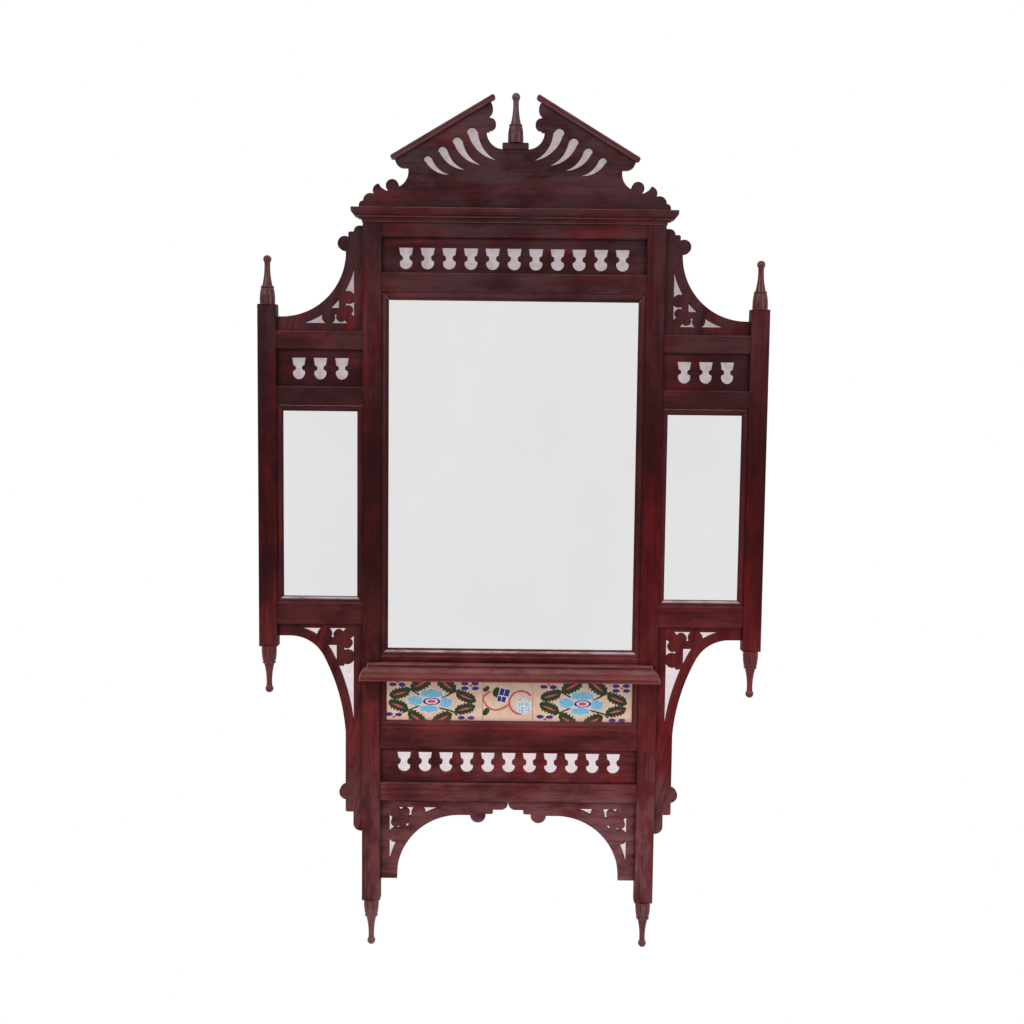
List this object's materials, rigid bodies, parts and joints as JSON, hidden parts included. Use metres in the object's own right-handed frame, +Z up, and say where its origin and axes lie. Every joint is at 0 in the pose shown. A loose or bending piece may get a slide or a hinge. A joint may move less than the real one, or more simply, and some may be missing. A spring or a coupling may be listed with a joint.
{
  "type": "wall mirror",
  "caption": "Tall dark wood wall mirror with side mirrors, pierced frets, scroll brackets, turned finials, a broken pediment and painted tiles under a ledge.",
  "frame": {"origin": "on the plane of the frame's back, on the centre line, at mid height of the rail above the main mirror", "axes": "+Z up, +Y into the wall, +X to the right as seen from the front"},
  "size_m": [0.762, 0.044, 1.293],
  "materials": {
    "dark_wood": "semi-gloss red-brown stain",
    "red_wood": "semi-gloss red stain, worn light on its edges",
    "dowel_wood": "bare",
    "back_board": "bare, matt",
    "mirror_glass": "polished",
    "glazed_tile": "glossy painted glaze",
    "brass_plate": "dull",
    "steel_pin": "plain"
  },
  "bodies": {
    "root": {"main_stile_left": "dark_wood", "main_stile_right": "dark_wood", "wing_post_left": "dark_wood", "wing_post_right": "dark_wood", "top_rail": "dark_wood", "mirror_top_rail": "dark_wood", "mirror_low_rail": "dark_wood", "tile_rail": "dark_wood", "bottom_rail": "dark_wood", "wing_top_rail_left": "dark_wood", "wing_top_rail_right": "dark_wood", "wing_mid_rail_left": "dark_wood", "wing_mid_rail_right": "dark_wood", "wing_low_rail_left": "dark_wood", "wing_low_rail_right": "dark_wood", "upper_fret": "dark_wood", "lower_fret": "dark_wood", "wing_fret_left": "dark_wood", "wing_fret_right": "dark_wood", "upper_bracket_left": "dark_wood", "upper_bracket_right": "dark_wood", "lower_bracket_left": "dark_wood", "lower_bracket_right": "dark_wood", "apron_bracket_left": "dark_wood", "apron_bracket_right": "dark_wood", "pediment_board": "dark_wood", "raking_moulding_left": "dark_wood", "raking_moulding_right": "dark_wood", "pediment_dowels": "dowel_wood", "cornice_front": "dark_wood", "cornice_return_left": "dark_wood", "cornice_return_right": "dark_wood", "ledge_front": "red_wood", "ledge_returns": "red_wood", "finial_block": "dark_wood", "centre_finial": "dark_wood", "wing_finial_left": "dark_wood", "wing_finial_right": "dark_wood", "wing_drop_left": "dark_wood", "wing_drop_right": "dark_wood", "stile_drop_left": "dark_wood", "stile_drop_right": "dark_wood", "main_mirror": "mirror_glass", "wing_mirror_left": "mirror_glass", "wing_mirror_right": "mirror_glass", "main_backboard": "back_board", "wing_backboard_left": "back_board", "wing_backboard_right": "back_board", "main_bead": "red_wood", "wing_bead_left": "red_wood", "wing_bead_right": "red_wood", "tile_bead": "red_wood", "tile_left": "glazed_tile", "tile_centre": "glazed_tile", "tile_right": "glazed_tile", "tile_backboard": "back_board", "board_pins": "steel_pin", "hanging_plate_left": "brass_plate", "hanging_plate_right": "brass_plate", "plate_screws": "brass_plate"}
  },
  "joints": []
}
